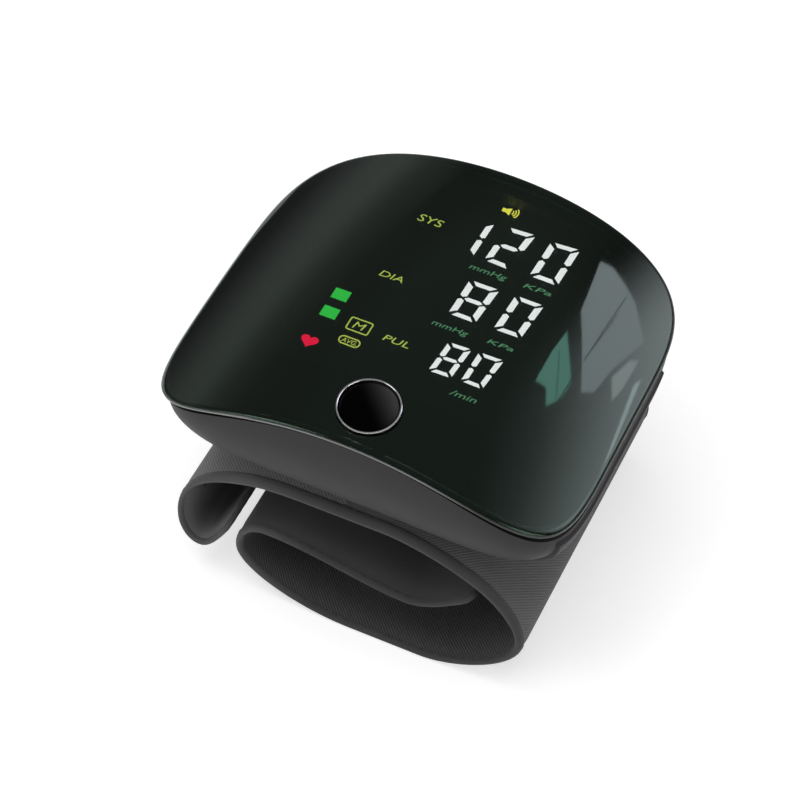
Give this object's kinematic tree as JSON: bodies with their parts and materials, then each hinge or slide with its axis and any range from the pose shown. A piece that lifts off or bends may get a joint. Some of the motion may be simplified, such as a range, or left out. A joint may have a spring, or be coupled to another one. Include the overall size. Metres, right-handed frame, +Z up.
{
  "type": "wrist blood pressure monitor",
  "caption": "Wrist blood pressure monitor: arched smoked cover over a lit display, ringed start button, boat-shaped case with battery door, on a spiral air cuff of lined cloth",
  "frame": {"origin": "centre of the overall box in plan, on the surface that the cuff stands on", "axes": "+X to the right of the display and along the arch, +Y to the display's top edge, +Z up"},
  "size_m": [0.084, 0.0722, 0.0659],
  "materials": {
    "smoked_cover": "smoked clear acrylic, polished",
    "bright_trim": "bright plated plastic",
    "dark_plastic": "moulded, matt",
    "case_plastic": "moulded, fine satin",
    "cell_can": "printed sleeve over a can",
    "plain_steel": "plain",
    "board": "green solder mask",
    "display_black": "black reflector block and film",
    "button_gloss": "polished black",
    "silicone": "translucent grey",
    "white_plastic": "natural moulded",
    "outer_cloth": "fine ribbed weave",
    "lining_cloth": "fine ribbed weave",
    "binding_tape": "folded edge tape",
    "hook_tape": "hook and loop pile",
    "bladder_film": "soft film"
  },
  "bodies": {
    "housing": {"top_cover": "smoked_cover", "seam_trim": "bright_trim", "chassis_ring": "dark_plastic", "lower_case": "case_plastic", "battery_tray": "dark_plastic", "battery_cell_1": "cell_can", "battery_cell_2": "cell_can", "battery_contact_1": "plain_steel", "battery_contact_2": "plain_steel", "battery_bridge_contact": "plain_steel", "main_board": "board", "board_screw_1": "plain_steel", "board_screw_2": "plain_steel", "board_screw_3": "plain_steel", "board_screw_4": "plain_steel", "display_module": "display_black", "display_film": "display_black", "button_ring": "bright_trim", "tact_switch": "dark_plastic", "pressure_sensor": "white_plastic", "speaker": "plain_steel", "pump_motor": "plain_steel", "pump_head": "dark_plastic", "exhaust_valve": "plain_steel", "air_manifold": "white_plastic", "cuff_port": "white_plastic", "port_tube": "silicone", "pump_tube": "silicone", "valve_tube": "silicone", "sensor_tube": "silicone", "strap_outer_cloth": "outer_cloth", "strap_lining": "lining_cloth", "strap_binding_front": "binding_tape", "strap_binding_back": "binding_tape", "strap_shaper_plate": "white_plastic", "strap_bladder": "bladder_film"},
    "start_button": {"button_cap": "button_gloss", "switch_plunger": "silicone"},
    "door": {"battery_door": "case_plastic"},
    "cuff_wrap": {"wrap_outer_cloth": "outer_cloth", "wrap_lining": "lining_cloth", "wrap_binding_front": "binding_tape", "wrap_binding_back": "binding_tape", "wrap_binding_end": "binding_tape", "wrap_shaper_plate": "white_plastic", "wrap_bladder": "bladder_film", "loop_patch": "hook_tape"},
    "cuff_tail": {"tail_outer_cloth": "outer_cloth", "tail_lining": "lining_cloth", "tail_binding_front": "binding_tape", "tail_binding_back": "binding_tape", "tail_binding_end": "binding_tape", "tail_stiffener": "white_plastic", "hook_patch": "hook_tape"}
  },
  "joints": [
    {"name": "button_press", "type": "slide", "parent": "housing", "child": "start_button", "axis": [-0.0321, 0.0713, -0.9969], "range_m": [0, 0.0008], "stiffness_N_per_m": 1500, "springref_m": -0.0003},
    {"name": "door_slide", "type": "slide", "parent": "housing", "child": "door", "axis": [1, 0, 0], "range_m": [0, 0.018]},
    {"name": "wrap_open", "type": "hinge", "parent": "housing", "child": "cuff_wrap", "pos_m": [0.02846, 0, 0.02947], "axis": [0, -1, 0], "range_deg": [0, 70], "stiffness_Nm_per_rad": 0.06, "springref_deg": -20.05},
    {"name": "tail_lift", "type": "hinge", "parent": "housing", "child": "cuff_tail", "pos_m": [-0.02741, 0, 0.03365], "axis": [0, 1, 0], "range_deg": [0, 40], "stiffness_Nm_per_rad": 0.04, "springref_deg": -11.46}
  ]
}
